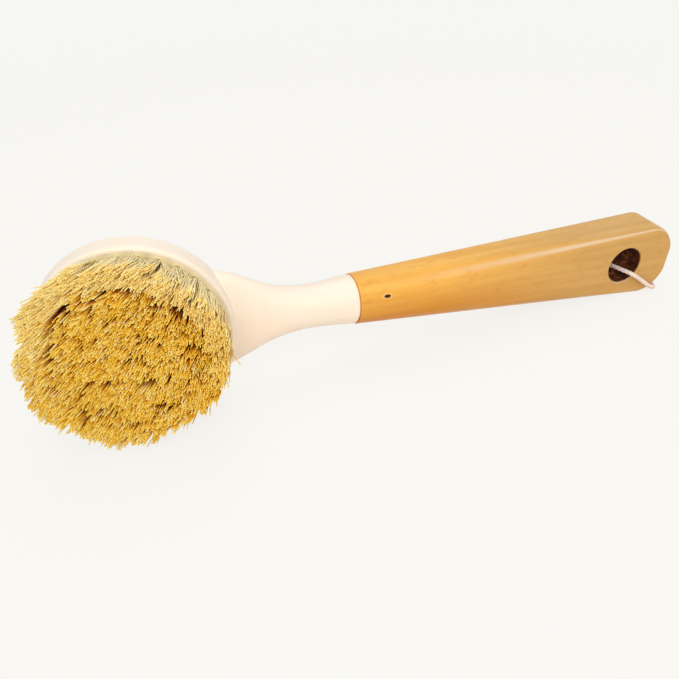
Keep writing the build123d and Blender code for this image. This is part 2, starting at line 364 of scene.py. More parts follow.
# How a tuft fans out along its ring or row and across it, and how its clumps gather
WIDE_SPREAD, NARROW_SPREAD = 0.0056, 0.0038
ROW_END_ROOM = 1.45  # the tufts at a row's ends have room to fan out wider
FAN_SWIFTNESS = 3.4
CLUMPS = 13
CLUMPS_SHARE = 0.9
MOST_PULL = 0.45

# How uneven it all is
TUFT_LEAN, CLUMP_SWAY, OWN_SWAY, CROOK = 0.0008, 0.00050, 0.00040, 0.00022
CROOK_WAVES = 1.6
STRAY_SHARE, STRAY_SWAY, STRAY_LENGTH, STRAY_TONE = 0.025, 0.0018, 0.04, 0.1
MEAN_LENGTH, OWN_LENGTH, CLUMP_LENGTH, TUFT_LENGTH = 0.950, 0.040, 0.014, 0.010
SHORTEST, LONGEST = 0.86, 1.03
MEAN_TONE, OWN_TONE, CLUMP_TONE = 0.5, 0.15, 0.09
random = np.random.default_rng(7)


def disc(count):
    """Random places in a disc of radius 1."""
    turns = random.uniform(0, 2 * np.pi, count)
    out = np.sqrt(random.uniform(0, 1, count))
    return np.stack([out * np.cos(turns), out * np.sin(turns)], 1)


def tuft_splay(place):
    """How far use has pushed a tuft's tips outwards: two corners of the brush are splayed."""
    splay = np.zeros(2)
    for way, most in SPLAYS:
        splay = splay + np.array(way) * most * max(0.0, place @ way / RING_RADIUS) ** SPLAY_REACH
    return splay


def fibre_lines(place, way, room):
    """The lines of one tuft's fibres, in the head's frame, with each one's tone.

    The tuft fans out widely along way, which is the direction of its ring or row, and less across
    it. Room widens the whole fan. The tuft reaches its width soon above the face, leans more and
    more towards its tips, and its clumps part and turn only near them. A few strays stick out.
    """
    count = FIBRES_PER_TUFT
    turned = np.array((way, (-way[1], way[0])))
    spread = turned * ((WIDE_SPREAD,), (NARROW_SPREAD,)) * room
    spots = disc(count)
    root = place + spots @ turned * (HOLE_RADIUS * ROOT_SHARE)
    own, clumps = spots @ spread, disc(CLUMPS) @ spread * CLUMPS_SHARE
    near = np.argmin(np.linalg.norm(own[:, None] - clumps[None], axis=2), 1)
    pull = random.uniform(0.0, MOST_PULL, (count, 1))
    fan = own * (1 - pull) + clumps[near] * pull - (root - place)
    lean = place * (ALONG_SHARE, ACROSS_SHARE) - place + FIELD_SHIFT
    lean = lean + random.normal(0, TUFT_LEAN, 2)
    splay = tuft_splay(place)
    from_handle = np.clip(0.5 - place[0] / (2 * RING_RADIUS), 0, 1)
    sway = random.normal(0, CLUMP_SWAY, (CLUMPS, 2))[near] + random.normal(0, OWN_SWAY, (count, 2))
    stray = random.uniform(0, 1, count) < STRAY_SHARE
    sway += stray[:, None] * random.normal(0, STRAY_SWAY, (count, 2))
    level = random.normal(0, TUFT_LENGTH) + random.normal(0, CLUMP_LENGTH, CLUMPS)[near]
    share = random.normal(MEAN_LENGTH, OWN_LENGTH, count) + level + STRAY_LENGTH * stray
    length = BRISTLE_LENGTH * np.clip(share, SHORTEST, LONGEST)
    crook = random.normal(0, CROOK, (count, 2))
    lines = np.zeros((count, RINGS, 3))
    lines[:, 0, :2], lines[:, 0, 2] = root, -SUNK
    for k, height in enumerate(HEIGHTS):
        swept = BOW * from_handle * (height**3 - BOW_BACK * height)
        bent = swept + lean * height**LEAN_GROWTH + splay * height**SPLAY_GROWTH
        lines[:, k + 1, :2] = root + fan * (1 - (1 - height) ** FAN_SWIFTNESS) + bent
        lines[:, k + 1, :2] += sway * height**3 + crook * np.sin(np.pi * height * CROOK_WAVES)
        lines[:, k + 1, 2] = height * length
    tone = random.normal(MEAN_TONE, OWN_TONE, count) + random.normal(0, CLUMP_TONE, CLUMPS)[near]
    return lines, np.clip(tone + STRAY_TONE * stray, 0, 1)


print("each tuft has", FIBRES_PER_TUFT, "fibres, in", CLUMPS, "clumps")


# %% [markdown]
# A line becomes a tube when a small ring of corners stands at each of its points, square to the
# line. The rings of all fibres are worked out together as arrays. The faces go from ring to ring,
# and one small triangle closes the tip, as the cut end of a real fibre does.
#
# Arrays are handed to the mesh as a whole with foreach_set, which is far quicker than one fibre at
# a time. Three values go along for the material: each fibre's tone, the height along it, and how
# much painted light it gets, which only the outer tufts on the upper side do: a pale painted
# stand-in for the light that falls on and shines through that fringe.

# %% The fibres of each node
TAPER_RINGS, TAPER_SHARES = (0, 1, 3, RINGS - 1), (0.45, 0.55, 0.95, 1.0)
# Painted light: the outer tufts on the upper side are painted paler, most at the top.
PAINTED_LIGHT_AT_MIDDLE, PAINTED_LIGHT_GROWTH = 0.45, 0.95


def fibre_corners(lines):
    """The ring of corners round each point of each line."""
    along = np.gradient(lines, axis=1)
    along /= np.linalg.norm(along, axis=2, keepdims=True)
    first = np.cross(along, FACE_X)
    first /= np.linalg.norm(first, axis=2, keepdims=True)
    second = np.cross(along, first)
    taper = np.interp(np.arange(RINGS), TAPER_RINGS, TAPER_SHARES) * FIBRE_RADIUS
    spin = random.uniform(0, 2 * np.pi, (len(lines), 1, 1))
    corners = []
    for side in range(SIDES):
        angle = spin + 2 * np.pi * side / SIDES
        around = np.cos(angle) * first + np.sin(angle) * second
        corners.append(lines + around * taper[None, :, None])
    return np.stack(corners, 2).reshape(-1, 3)


def fibre_faces():
    """The corners of one fibre's faces, in order, and the size of each face."""
    loops = []
    for ring in range(RINGS - 1):
        for side in range(SIDES):
            beside = (side + 1) % SIDES
            low, high = ring * SIDES, (ring + 1) * SIDES
            loops += [low + side, low + beside, high + beside, high + side]
    loops += [(RINGS - 1) * SIDES + side for side in range(SIDES)]
    return np.array(loops), np.array([4] * ((RINGS - 1) * SIDES) + [SIDES])


def spread_values(mesh, name, values):
    """Gives each corner of a mesh its value, under a name that a material can read."""
    made = mesh.attributes.new(name, "FLOAT", "POINT")
    made.data.foreach_set("value", values.astype(np.float32))


def fibre_mesh(name, places):
    """One mesh with the fibres of these tufts. The ring's tufts fan out along the ring."""
    rooms = np.ones(len(places))
    if name.endswith("ring"):
        ways = places[:, ::-1] * (-1, 1)
    else:
        ways = np.tile((1.0, 0.0), (len(places), 1))
        rooms[[0, -1]] = ROW_END_ROOM
    ways = ways / np.linalg.norm(ways, axis=1, keepdims=True)
    made = [fibre_lines(place, way, room) for place, way, room in zip(places, ways, rooms)]
    lines = in_frame(np.concatenate([line for line, tone in made]))
    tones = np.concatenate([tone for line, tone in made])
    past_rows = np.linalg.norm(places, axis=1) - ROWS_RADIUS
    outer = np.clip(past_rows / (RING_RADIUS - ROWS_RADIUS), 0, 1)
    painted_fringe_light = outer * np.clip(PAINTED_LIGHT_AT_MIDDLE + PAINTED_LIGHT_GROWTH * places[:, 1] / RING_RADIUS, 0, 1)
    lines[..., 2] = np.maximum(lines[..., 2], FIBRE_RADIUS)
    points = fibre_corners(lines)
    loops, sizes = fibre_faces()
    starts = np.arange(len(lines)) * RINGS * SIDES
    all_sizes = np.tile(sizes, len(lines))
    mesh = bpy.data.meshes.new(name)
    mesh.vertices.add(len(points))
    mesh.vertices.foreach_set("co", points.ravel())
    mesh.loops.add(len(loops) * len(lines))
    mesh.loops.foreach_set("vertex_index", (loops[None] + starts[:, None]).ravel())
    mesh.polygons.add(len(all_sizes))
    mesh.polygons.foreach_set("loop_start", np.concatenate([[0], np.cumsum(all_sizes)[:-1]]))
    mesh.polygons.foreach_set("use_smooth", all_sizes == 4)
    mesh.update(calc_edges=True)
    spread_values(mesh, "fibre_tone", np.repeat(tones, RINGS * SIDES))
    heights = np.tile(np.repeat(np.concatenate([[0], HEIGHTS]), SIDES), len(lines))
    spread_values(mesh, "fibre_height", heights)
    spread_values(mesh, "fibre_painted_light", np.repeat(painted_fringe_light, FIBRES_PER_TUFT * RINGS * SIDES))
    piece = bpy.data.objects.new(name, mesh)
    scene.collection.objects.link(piece)
    return piece


bristles = []
for name, places in tufts.items():
    piece = fibre_mesh(f"bristles_{name}", places)
    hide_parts(f"tufts_{name}")
    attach(piece, "root")
    bristles.append(piece)
    print(piece.name, len(piece.data.polygons), "faces")

# %% [markdown]
# Several finishes need the same two things: slow, cloudy changes of tone, and a fine relief that
# breaks up their shine. Both could be built again in each material, but as node groups, with their
# scale and strength as inputs, they are made once and stay alike. The small helpers here place a
# node, mix two colours or work out a number, so that each finish below reads as its own recipe.

# %% Shared effects


def socket(group, name, kind, into, value=None):
    """An input or output of a node group."""
    way = "INPUT" if into else "OUTPUT"
    made = group.interface.new_socket(name=name, in_out=way, socket_type=kind)
    if value is not None:
        made.default_value = value


def node(tree, kind, place, **values):
    """A node at this place, with values given to its inputs by name."""
    made = tree.nodes.new(kind)
    made.location = place
    for name, value in values.items():
        made.inputs[name.replace("_", " ")].default_value = value
    return made


def tone_group():
    """Noise in soft clouds, as a number from Low to High."""
    group = bpy.data.node_groups.new("cloudy_tone", "ShaderNodeTree")
    socket(group, "Scale", "NodeSocketFloat", True, 60.0)
    socket(group, "Low", "NodeSocketFloat", True, 0.0)
    socket(group, "High", "NodeSocketFloat", True, 1.0)
    socket(group, "Value", "NodeSocketFloat", False)
    given = node(group, "NodeGroupInput", (-600, 0))
    coordinates = node(group, "ShaderNodeTexCoord", (-600, -200))
    noise = node(group, "ShaderNodeTexNoise", (-400, 0), Detail=4.0, Roughness=0.55)
    spread = node(group, "ShaderNodeMapRange", (-200, 0), From_Min=0.3, From_Max=0.7)
    out = node(group, "NodeGroupOutput", (0, 0))
    group.links.new(coordinates.outputs["Object"], noise.inputs["Vector"])
    group.links.new(given.outputs["Scale"], noise.inputs["Scale"])
    group.links.new(noise.outputs["Fac"], spread.inputs["Value"])
    group.links.new(given.outputs["Low"], spread.inputs["To Min"])
    group.links.new(given.outputs["High"], spread.inputs["To Max"])
    group.links.new(spread.outputs["Result"], out.inputs["Value"])
    return group


def relief_group():
    """Fine noise, as a height for a bump."""
    group = bpy.data.node_groups.new("fine_relief", "ShaderNodeTree")
    socket(group, "Scale", "NodeSocketFloat", True, 900.0)
    socket(group, "Strength", "NodeSocketFloat", True, 0.1)
    socket(group, "Height", "NodeSocketFloat", False)
    given = node(group, "NodeGroupInput", (-600, 0))
    coordinates = node(group, "ShaderNodeTexCoord", (-600, -200))
    noise = node(group, "ShaderNodeTexNoise", (-400, 0), Detail=3.0)
    times = node(group, "ShaderNodeMath", (-200, 0))
    times.operation = "MULTIPLY"
    out = node(group, "NodeGroupOutput", (0, 0))
    group.links.new(coordinates.outputs["Object"], noise.inputs["Vector"])
    group.links.new(given.outputs["Scale"], noise.inputs["Scale"])
    group.links.new(noise.outputs["Fac"], times.inputs[0])
    group.links.new(given.outputs["Strength"], times.inputs[1])
    group.links.new(times.outputs["Value"], out.inputs["Height"])
    return group


cloudy_tone = tone_group()
fine_relief = relief_group()


def grouped(tree, group, place, **values):
    """A node group in a material, with values for its inputs."""
    made = node(tree, "ShaderNodeGroup", place)
    made.node_tree = group
    for name, value in values.items():
        made.inputs[name].default_value = value
    return made


def material(name):
    """A new material with its node tree and its Principled shader."""
    made = bpy.data.materials.new(name)
    made.use_nodes = True
    return made, made.node_tree, made.node_tree.nodes["Principled BSDF"]


def mixed(tree, place, factor, first, second):
    """A colour between two, by a factor that is a number or an output."""
    made = tree.nodes.new("ShaderNodeMix")
    made.data_type = "RGBA"
    made.location = place
    wanted = ((factor, made.inputs[0]), (first, made.inputs[6]), (second, made.inputs[7]))
    for value, into in wanted:
        if isinstance(value, bpy.types.NodeSocket):
            tree.links.new(value, into)
        else:
            into.default_value = value
    return made.outputs[2]


def calculated(tree, operation, place, first, second=0.0):
    """A number worked out from one or two others, which are numbers or outputs."""
    made = node(tree, "ShaderNodeMath", place)
    made.operation = operation
    for value, into in zip((first, second), made.inputs):
        if isinstance(value, bpy.types.NodeSocket):
            tree.links.new(value, into)
        else:
            into.default_value = value
    return made.outputs[0]


def ranged(tree, place, value, low, high, to_low=0.0, to_high=1.0):
    """A value's way from low to high, as a number from to_low to to_high."""
    made = node(
        tree, "ShaderNodeMapRange", place,
        From_Min=low, From_Max=high, To_Min=to_low, To_Max=to_high,
    )
    tree.links.new(value, made.inputs["Value"])
    return made.outputs["Result"]


def ramp(tree, place, stops):
    """A colour ramp with these (position, colour) stops."""
    made = node(tree, "ShaderNodeValToRGB", place)
    stops_now = made.color_ramp.elements
    while len(stops_now) < len(stops):
        stops_now.new(1.0)
    for element, (position, colour) in zip(stops_now, stops):
        element.position = position
        element.color = colour
    return made


def dress(piece, finish):
    """Gives a piece one material, for a new piece or a CAD node alike."""
    if not piece.material_slots:
        piece.data.materials.append(finish)
    for held in piece.material_slots:
        held.material = finish


print("groups:", [group.name for group in bpy.data.node_groups])

# %% [markdown]
# The head is moulded in a warm off-white plastic with a soft sheen. Under light the thick plastic
# glows a little, so some of its colour comes from below the surface, which a plain diffuse colour
# can't show. The face round the bristles is the same plastic, painted yellow as painted light, for
# the glow that the golden fibres throw back onto it, and painted brown between the tufts, for fibre
# dust and painted shade under the bristles.

# %% Head plastic
HEAD_DARK, HEAD_LIGHT = (0.92, 0.79, 0.65, 1), (0.94, 0.82, 0.69, 1)
# The face's yellow is painted light: the glow that the golden fibres throw back onto it.
FACE_BOUNCE_DARK, FACE_BOUNCE_LIGHT = (1.0, 0.84, 0.50, 1), (1.0, 0.86, 0.56, 1)
# Inside the ring of tufts the face is painted brown: fibre dust, and painted shade under the
# bristles.
DUST_AND_SHADE_COLOUR = (0.60, 0.30, 0.06, 1)
DUST_AND_SHADE_RADIUS, DUST_AND_SHADE_FULL_RADIUS = 0.0262, 0.0235


def plastic(name, dark, light):
    """The head's plastic in a colour that drifts between two tones."""
    made, tree, shader = material(name)
    shader.inputs["Subsurface Weight"].default_value = 0.25
    shader.inputs["Subsurface Radius"].default_value = (1.0, 0.55, 0.35)
    shader.inputs["Subsurface Scale"].default_value = 0.003
    tone = grouped(tree, cloudy_tone, (-700, 200), Scale=28.0)
    colour = mixed(tree, (-400, 200), tone.outputs["Value"], dark, light)
    tree.links.new(colour, shader.inputs["Base Color"])
    sheen = grouped(tree, cloudy_tone, (-700, -100), Scale=300.0, Low=0.3, High=0.42)
    tree.links.new(sheen.outputs["Value"], shader.inputs["Roughness"])
    relief = grouped(tree, fine_relief, (-700, -400), Scale=700.0, Strength=1.0)
    bump = node(tree, "ShaderNodeBump", (-400, -400), Strength=0.03, Distance=0.0002)
    tree.links.new(relief.outputs["Height"], bump.inputs["Height"])
    tree.links.new(bump.outputs["Normal"], shader.inputs["Normal"])
    return made


dress(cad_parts["brush_head"], plastic("cream_head_plastic", HEAD_DARK, HEAD_LIGHT))
face_plastic = plastic("face_plastic_with_painted_bounce", FACE_BOUNCE_DARK, FACE_BOUNCE_LIGHT)
tree = face_plastic.node_tree
shader = tree.nodes["Principled BSDF"]
pale_tone = shader.inputs["Base Color"].links[0].from_socket
coordinates = node(tree, "ShaderNodeTexCoord", (-900, 500))
from_centre = node(tree, "ShaderNodeVectorMath", (-700, 500))
from_centre.operation = "DISTANCE"
from_centre.inputs[1].default_value = FACE_CENTRE
tree.links.new(coordinates.outputs["Object"], from_centre.inputs[0])
# Dust and painted shade: brown towards the middle of the face, under the bristles.
dust_and_shade = ranged(tree, (-500, 500), from_centre.outputs["Value"], DUST_AND_SHADE_RADIUS, DUST_AND_SHADE_FULL_RADIUS)
dusted_and_shaded = mixed(tree, (-200, 400), dust_and_shade, pale_tone, DUST_AND_SHADE_COLOUR)
tree.links.new(dusted_and_shaded, shader.inputs["Base Color"])
dress(plate, face_plastic)
print("head and face are dressed")

# %% [markdown]
# Bamboo shows straight fibres that run the length of the handle: faint bands and many short
# dashes. A picture of bamboo would have to be wrapped round the handle. Noise that is drawn out in
# the handle's own directions needs no wrapping and runs through the wood, also inside the hole. So
# the first step is a group that says how far each point lies along the handle, across it and to
# its front.

# %% Bamboo, in the handle's own directions
HOLE_PLACE = (0.099544, 0.025359, 0.015677)
HANDLE_ALONG = (0.972085, 0.218255, -0.086114)
HANDLE_FRONT = (0.219069, -0.975709, 0.0)
ACROSS = (0.084022, 0.018865, 0.996285)
EDGE_FACING, EDGE_FULL_FACING = 0.48, 0.66


def towards(tree, place, value, way):
    """How much of a vector points this way."""
    made = node(tree, "ShaderNodeVectorMath", place)
    made.operation = "DOT_PRODUCT"
    made.inputs[1].default_value = way
    tree.links.new(value, made.inputs[0])
    return made.outputs["Value"]


def handle_frame_group():
    """How far a point lies from the hole, along the handle, across it and towards its front.

    Edge is 1 where the surface faces half across and half to the front or back, as the long edges
    do.
    """
    group = bpy.data.node_groups.new("handle_frame", "ShaderNodeTree")
    coordinates = node(group, "ShaderNodeTexCoord", (-800, 0))
    out = node(group, "NodeGroupOutput", (400, 0))
    away = node(group, "ShaderNodeVectorMath", (-600, 0))
    away.operation = "SUBTRACT"
    away.inputs[1].default_value = HOLE_PLACE
    group.links.new(coordinates.outputs["Object"], away.inputs[0])
    ways = (("Along", HANDLE_ALONG), ("Across", ACROSS), ("Front", HANDLE_FRONT))
    for i, (name, way) in enumerate(ways):
        socket(group, name, "NodeSocketFloat", False)
        group.links.new(towards(group, (-400, -150 * i), away.outputs[0], way), out.inputs[name])
    socket(group, "Edge", "NodeSocketFloat", False)
    facing = []
    for i, way in enumerate((ACROSS, HANDLE_FRONT)):
        turned = towards(group, (-400, -500 - 150 * i), coordinates.outputs["Normal"], way)
        facing.append(calculated(group, "ABSOLUTE", (-200, -500 - 150 * i), turned))
    least = calculated(group, "MINIMUM", (0, -500), *facing)
    edge = ranged(group, (200, -500), least, EDGE_FACING, EDGE_FULL_FACING)
    group.links.new(edge, out.inputs["Edge"])
    return group


def grain(tree, place, frame_node, along_scale, across_scale, front_scale, detail):
    """Noise that is drawn out along the handle."""
    joined = node(tree, "ShaderNodeCombineXYZ", (place[0] - 200, place[1]))
    scales = (("Along", along_scale), ("Across", across_scale), ("Front", front_scale))
    for i, (name, scale) in enumerate(scales):
        spot = (place[0] - 400, place[1] - 60 * i)
        scaled = calculated(tree, "MULTIPLY", spot, frame_node.outputs[name], scale)
        tree.links.new(scaled, joined.inputs[i])
    noise = node(tree, "ShaderNodeTexNoise", place, Scale=1.0, Detail=detail, Roughness=0.5)
    tree.links.new(joined.outputs[0], noise.inputs["Vector"])
    return noise.outputs["Fac"]


handle_frame = handle_frame_group()
bamboo, tree, shader = material("golden_bamboo")
where = grouped(tree, handle_frame, (-2400, 0))
print("handle frame:", [socket.name for socket in handle_frame.interface.items_tree])

# %% [markdown]
# The bamboo is golden at the socket and tan at the end, and its lower side is painted darker, as
# painted shade. Bands, lines, dashes and spots are laid over that one by one, each a little
# stronger than the eye would think, because every layer hides some of the last. On the long edges
# a pale painted highlight runs from the middle of the handle on.

# %% Bamboo's colour, with painted shade and highlight
GOLDEN_DARK, GOLDEN_LIGHT = (0.82, 0.40, 0.060, 1), (0.91, 0.50, 0.105, 1)
TAN_DARK, TAN_LIGHT = (0.57, 0.32, 0.085, 1), (0.69, 0.41, 0.130, 1)
# Painted shade: the handle's lower side is darkened as if in shade.
SHADED_UNDERSIDE, SHADED_UNDERSIDE_SHARE = (0.58, 0.21, 0.010, 1), 0.85
LINE_COLOUR, LINE_SHARE = (0.52, 0.25, 0.05, 1), 0.16
DASH_COLOUR, DASH_SHARE = (0.42, 0.18, 0.03, 1), 0.35
SPOT_COLOUR, SPOT_SHARE = (0.60, 0.25, 0.03, 1), 0.3
# A painted highlight along the long edges, from the middle of the handle on.
EDGE_HIGHLIGHT, EDGE_HIGHLIGHT_SHARE = (0.80, 0.62, 0.48, 1), 0.6
UNDERSIDE_SHADE_FROM, UNDERSIDE_SHADE_FULL = 0.0050, -0.0045  # across the handle
TAN_FROM, TAN_FULL = -0.085, -0.02  # along it, from the hole
EDGE_HIGHLIGHT_FROM, EDGE_HIGHLIGHT_FULL = -0.10, -0.03

golden = ramp(tree, (-1400, 600), [(0.0, GOLDEN_DARK), (1.0, GOLDEN_LIGHT)])
tan = ramp(tree, (-1400, 350), [(0.0, TAN_DARK), (1.0, TAN_LIGHT)])
banding = grain(tree, (-1800, 600), where, 14.0, 260.0, 260.0, 3.0)
bands = ranged(tree, (-1600, 600), banding, 0.3, 0.7)
for colours in (golden, tan):
    tree.links.new(bands, colours.inputs["Fac"])
across, along = where.outputs["Across"], where.outputs["Along"]
# Painted shade on the lower side of the handle.
painted_shade_share = ranged(tree, (-1400, 800), across, UNDERSIDE_SHADE_FROM, UNDERSIDE_SHADE_FULL, 0.0, SHADED_UNDERSIDE_SHARE)
underside_shaded = mixed(tree, (-1250, 700), painted_shade_share, golden.outputs["Color"], SHADED_UNDERSIDE)
to_end = ranged(tree, (-1400, 100), along, TAN_FROM, TAN_FULL)
base = mixed(tree, (-1100, 500), to_end, underside_shaded, tan.outputs["Color"])
lining = grain(tree, (-1800, -50), where, 30.0, 1700.0, 1700.0, 2.0)
lines = ranged(tree, (-1600, -50), lining, 0.35, 0.7)
line_share = calculated(tree, "MULTIPLY", (-1300, -50), lines, LINE_SHARE)
lined = mixed(tree, (-900, 400), line_share, base, LINE_COLOUR)
dashing = grain(tree, (-1800, -300), where, 170.0, 1500.0, 1500.0, 1.0)
dashes = ranged(tree, (-1600, -300), dashing, 0.66, 0.78)
dash_share = calculated(tree, "MULTIPLY", (-1300, -300), dashes, DASH_SHARE)
dashed = mixed(tree, (-700, 300), dash_share, lined, DASH_COLOUR)
spotting = grain(tree, (-1800, -400), where, 210.0, 420.0, 420.0, 2.0)
spots = ranged(tree, (-1600, -400), spotting, 0.56, 0.74, 0.0, SPOT_SHARE)
spotted = mixed(tree, (-600, 250), spots, dashed, SPOT_COLOUR)
# Painted highlight on the long edges, from the middle of the handle on.
to_middle = ranged(tree, (-1700, -500), along, EDGE_HIGHLIGHT_FROM, EDGE_HIGHLIGHT_FULL)
edge_highlight = calculated(tree, "MULTIPLY", (-1500, -500), to_middle, EDGE_HIGHLIGHT_SHARE)
edge_highlight_share = calculated(tree, "MULTIPLY", (-1300, -500), where.outputs["Edge"], edge_highlight)
edge_highlighted = mixed(tree, (-500, 200), edge_highlight_share, spotted, EDGE_HIGHLIGHT)
print("bamboo's own colour is laid")

# %% [markdown]
# There is one small dark slot near the socket, with a painted highlight on its rim, and the hole
# was burnt through, which left its wall dark brown. Both are marks with a clear shape, so they are
# written as distances: a point is in the slot when the squares of its two ways from the slot's
# middle, in halves of its length and width, add up to less than 1. The hole's wall comes out of
# the same sum.

# %% The slot and the burnt hole
SLOT_ALONG, SLOT_ACROSS = -0.1057, 0.0041
SLOT_HALF_LENGTH, SLOT_HALF_WIDTH = 0.00125, 0.00062
# The slot's pale rim is a painted highlight.
SLOT_RIM_HIGHLIGHT, SLOT_RIM_HIGHLIGHT_SHARE = (0.96, 0.74, 0.36, 1), 0.3
SLOT_DARK = (0.05, 0.014, 0.004, 1)
HANG_HOLE_RADIUS = 0.0074
BURNT_FROM, BURNT_FULL = 1.13, 1.03  # from the hole's middle, in its radii, squared
CHAR = (0.022, 0.004, 0.001, 1)
SCORCH = (0.085, 0.018, 0.004, 1)
SINGE = (0.26, 0.080, 0.016, 1)


def squared_way(place, name, centre, half):
    """How far a point is from a centre in one direction, in halves of a size, squared."""
    away = calculated(tree, "SUBTRACT", place, where.outputs[name], centre)
    halves = calculated(tree, "DIVIDE", place, away, half)
    return calculated(tree, "POWER", (place[0] + 200, place[1]), halves, 2.0)


from_slot = calculated(
    tree, "ADD", (-1400, -800),
    squared_way((-1800, -800), "Along", SLOT_ALONG, SLOT_HALF_LENGTH),
    squared_way((-1800, -950), "Across", SLOT_ACROSS, SLOT_HALF_WIDTH),
)
front_only = calculated(tree, "GREATER_THAN", (-1400, -1000), where.outputs["Front"], 0.0)
# Painted highlight round the slot's rim.
in_rim_highlight = ranged(tree, (-1200, -800), from_slot, 3.2, 1.6, 0.0, SLOT_RIM_HIGHLIGHT_SHARE)
in_slot = ranged(tree, (-1200, -950), from_slot, 1.2, 0.8)
rim = calculated(tree, "MULTIPLY", (-1000, -800), in_rim_highlight, front_only)
slot = calculated(tree, "MULTIPLY", (-1000, -950), in_slot, front_only)
rim_highlighted = mixed(tree, (-300, 150), rim, edge_highlighted, SLOT_RIM_HIGHLIGHT)
slotted = mixed(tree, (-150, 100), slot, rim_highlighted, SLOT_DARK)
from_hole = calculated(
    tree, "ADD", (-1400, -1200),
    squared_way((-1800, -1200), "Along", 0.0, HANG_HOLE_RADIUS),
    squared_way((-1800, -1350), "Across", 0.0, HANG_HOLE_RADIUS),
)
burnt = ranged(tree, (-1000, -1200), from_hole, BURNT_FROM, BURNT_FULL)
char = ramp(tree, (-1000, -1500), [(0.0, CHAR), (0.55, SCORCH), (1.0, SINGE)])
mottle = grain(tree, (-1400, -1500), where, 420.0, 420.0, 300.0, 3.0)
tree.links.new(ranged(tree, (-1200, -1500), mottle, 0.35, 0.7), char.inputs["Fac"])
colour = mixed(tree, (0, 100), burnt, slotted, char.outputs["Color"])
tree.links.new(colour, shader.inputs["Base Color"])
print("slot at", SLOT_ALONG, SLOT_ACROSS)

# %% [markdown]
# The varnish is thin and satin. It could be a strong clear coat, but that would mirror the pale
# room and wash the gold out, so the coat stays faint, and its roughness drifts a little. Burnt
# wood has no varnish left: there the coat ends and the surface is dull. The lines are also a very
# fine relief.

# %% Bamboo's gloss and relief
varnish = grouped(tree, cloudy_tone, (-700, -300), Scale=90.0, Low=0.34, High=0.46)
bare = calculated(tree, "MAXIMUM", (-700, -500), burnt, slot)
dull = calculated(tree, "MULTIPLY", (-500, -300), bare, 0.8)
rough = calculated(tree, "MAXIMUM", (-300, -300), varnish.outputs["Value"], dull)
tree.links.new(rough, shader.inputs["Roughness"])
coat = ranged(tree, (-300, -500), bare, 0.0, 1.0, 0.07, 0.0)
tree.links.new(coat, shader.inputs["Coat Weight"])
shader.inputs["Coat Roughness"].default_value = 0.25
shader.inputs["Specular IOR Level"].default_value = 0.22
bump = node(tree, "ShaderNodeBump", (-300, -700), Strength=0.2, Distance=0.0001)
tree.links.new(lines, bump.inputs["Height"])
tree.links.new(bump.outputs["Normal"], shader.inputs["Normal"])
dress(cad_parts["bamboo_handle"], bamboo)
print("bamboo dressed")

# %% [markdown]
# Dry fibres are golden, and no two have quite the same tone. Deep between its neighbours a fibre
# is painted browner, as painted shade, while the outer tufts on the brush's upper side are painted
# pale as straw, except near their tips, as painted light for the light that falls on and shines
# through that fringe. A texture couldn't tell one fibre from the next, so the mesh carries these
# three facts for each fibre, and the material turns them to colour. The surface is dull, with a
# warm glint.

# %% Plant fibre
CREVICE_SHADE_FIBRE, CREVICE_SHADE_MOST = (0.66, 0.22, 0.003, 1), 0.95
PAINTED_LIGHT_FIBRE, PAINTED_LIGHT_MOST = (1.0, 0.89, 0.55, 1), 0.94
FIBRE_TONES = [
    (0.0, (0.76, 0.40, 0.02, 1)), (0.35, (0.94, 0.61, 0.05, 1)),
    (0.65, (1.0, 0.79, 0.18, 1)), (1.0, (1.0, 0.94, 0.58, 1)),
]
plant_fibre, tree, shader = material("dry_plant_fibre")
tone = node(tree, "ShaderNodeAttribute", (-900, 200))
tone.attribute_name = "fibre_tone"
height = node(tree, "ShaderNodeAttribute", (-900, -100))
height.attribute_name = "fibre_height"
golden = ramp(tree, (-700, 200), FIBRE_TONES)
tree.links.new(tone.outputs["Fac"], golden.inputs["Fac"])
painted_fringe_light = node(tree, "ShaderNodeAttribute", (-900, -400))
painted_fringe_light.attribute_name = "fibre_painted_light"
outside_painted_light = calculated(tree, "SUBTRACT", (-700, -400), 1.0, painted_fringe_light.outputs["Fac"])
# Painted shade: the lower part of each fibre is browner, for the shade deep between its neighbours.
crevice_shade = ranged(tree, (-700, -250), height.outputs["Fac"], 1.0, 0.66, 0.0, CREVICE_SHADE_MOST)
painted_shade_share = calculated(tree, "MULTIPLY", (-500, -250), crevice_shade, outside_painted_light)
crevice_shaded = mixed(tree, (-400, 200), painted_shade_share, golden.outputs["Color"], CREVICE_SHADE_FIBRE)
# Painted light: the upper fringe is painted pale, except near the tips.
low = ranged(tree, (-700, -100), height.outputs["Fac"], 1.12, 0.74, 0.0, PAINTED_LIGHT_MOST)
painted_light_share = calculated(tree, "MULTIPLY", (-500, -100), low, painted_fringe_light.outputs["Fac"])
painted_lit = mixed(tree, (-200, 100), painted_light_share, crevice_shaded, PAINTED_LIGHT_FIBRE)
tree.links.new(painted_lit, shader.inputs["Base Color"])
shader.inputs["Specular IOR Level"].default_value = 0.12
shader.inputs["Specular Tint"].default_value = (1.0, 0.82, 0.45, 1)
shader.inputs["Roughness"].default_value = 0.75
for piece in bristles:
    dress(piece, plant_fibre)
print("plant fibre on", len(bristles), "pieces")

# %% [markdown]
# The wire anchors sit at the bottoms of the holes. They hardly show, but who takes the head away
# sees them, so they get a plain metal finish in two greys that change softly from one to the next.

